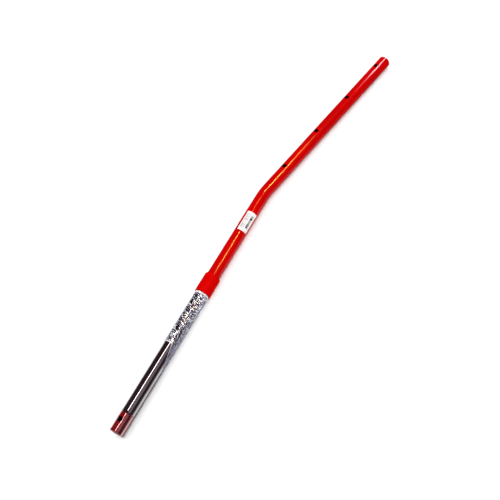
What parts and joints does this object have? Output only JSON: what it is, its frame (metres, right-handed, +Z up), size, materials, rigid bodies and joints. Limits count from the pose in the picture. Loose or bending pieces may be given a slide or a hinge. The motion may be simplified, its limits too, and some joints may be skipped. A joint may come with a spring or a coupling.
{
  "type": "gear shift lever",
  "caption": "Two-piece tubular gear shift lever: a chrome lower tube with a dark red cross-drilled end plugs into the collar of a bent red upper tube with a row of cross holes.",
  "frame": {"origin": "below the middle of the bounding box, on the surface that the lever lies on", "axes": "+X along the chrome lower tube towards the bend, +Z up along the cross holes; the upper tube turns towards -Y"},
  "size_m": [0.808, 0.1006, 0.0266],
  "materials": {
    "gloss_red_paint": "gloss",
    "satin_red_paint": "satin",
    "bare_steel": "machined",
    "chrome_plate": "mirror",
    "dark_red_lacquer": "high gloss",
    "clear_film": "crumpled clear film",
    "label_paper": "coated paper"
  },
  "bodies": {
    "upper_lever": {"upper_tube": "gloss_red_paint", "socket_collar": "satin_red_paint", "collar_weld": "satin_red_paint", "joining_spigot": "bare_steel", "label_patch": "label_paper"},
    "lower_lever": {"lower_tube": "chrome_plate", "end_ferrule": "dark_red_lacquer", "protective_film": "clear_film"}
  },
  "joints": [
    {"name": "lower_tube_pull", "type": "slide", "parent": "upper_lever", "child": "lower_lever", "axis": [-1, 0, 0], "range_m": [0, 0.045]}
  ]
}
